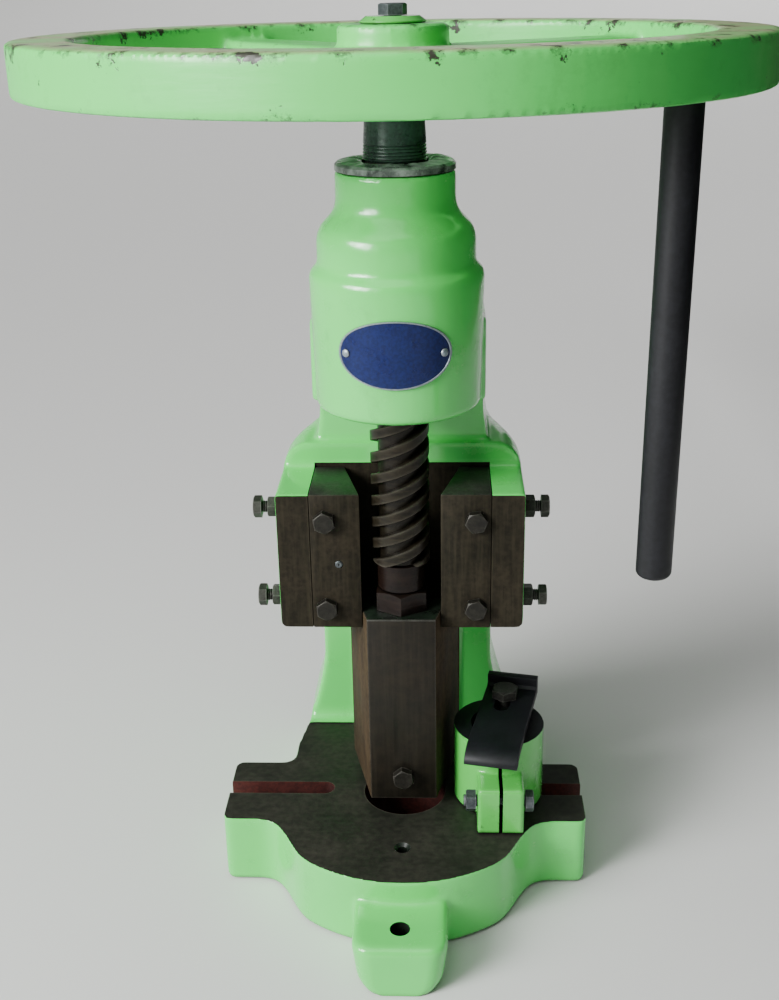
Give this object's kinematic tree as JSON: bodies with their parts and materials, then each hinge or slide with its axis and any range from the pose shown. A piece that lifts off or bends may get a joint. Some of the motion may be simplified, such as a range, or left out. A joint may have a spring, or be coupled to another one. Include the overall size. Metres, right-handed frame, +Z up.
{
  "type": "fly press",
  "caption": "Bench fly press: a rimmed hand wheel turns a multi-start screw that drives a dovetail ram down between gibs onto a slotted round bed.",
  "frame": {"origin": "on the screw's axis, on the plane that the bed stands on", "axes": "+Z up along the screw, -Y towards the operator at the front, +X to the operator's right"},
  "size_m": [0.427, 0.427, 0.5802],
  "materials": {
    "green_enamel": "light green gloss enamel on cast iron",
    "oiled_iron": "machined and oily, brown-grey",
    "screw_steel": "turned steel, dark with oil",
    "black_steel": "satin black",
    "zinc_steel": "dull zinc plate, a little dirty",
    "blue_plate": "blue printed face with a bare metal rim"
  },
  "bodies": {
    "frame": {"frame_casting": "green_enamel", "screw_nut": "oiled_iron", "name_plate": "blue_plate", "plate_rivet_left": "zinc_steel", "plate_rivet_right": "zinc_steel", "gib_left": "oiled_iron", "gib_right": "oiled_iron", "gib_pin": "zinc_steel", "gib_bolt_left_upper": "zinc_steel", "gib_bolt_left_lower": "zinc_steel", "gib_bolt_right_upper": "zinc_steel", "gib_bolt_right_lower": "zinc_steel", "adjusting_screw_left_upper": "zinc_steel", "adjusting_screw_left_lower": "zinc_steel", "adjusting_screw_right_upper": "zinc_steel", "adjusting_screw_right_lower": "zinc_steel", "lock_nut_left_upper": "zinc_steel", "lock_nut_left_lower": "zinc_steel", "lock_nut_right_upper": "zinc_steel", "lock_nut_right_lower": "zinc_steel", "stop_collar": "green_enamel", "stop_collar_bolt": "zinc_steel", "stop_collar_nut": "zinc_steel", "stop_dog": "black_steel", "stop_dog_bolt": "oiled_iron"},
    "ram": {"ram": "oiled_iron", "ram_gland": "oiled_iron", "thrust_pad": "screw_steel", "tool_clamp_screw": "screw_steel"},
    "screw": {"screw": "screw_steel", "screw_end_nut": "screw_steel", "flywheel": "green_enamel", "wheel_key": "screw_steel", "wheel_washer": "green_enamel", "wheel_bolt": "zinc_steel", "handle": "black_steel"}
  },
  "joints": [
    {"name": "ram_slide", "type": "slide", "parent": "frame", "child": "ram", "axis": [0, 0, 1], "range_m": [-0.0071, 0.1101]},
    {"name": "screw_turn", "type": "hinge", "parent": "ram", "child": "screw", "pos_m": [0, 0, 0.3], "axis": [0, 0, 1], "range_deg": [-57, 880]}
  ],
  "couplings": [
    {"joint": "ram_slide", "follows": "screw_turn", "m_per_rad": 0.007162}
  ]
}
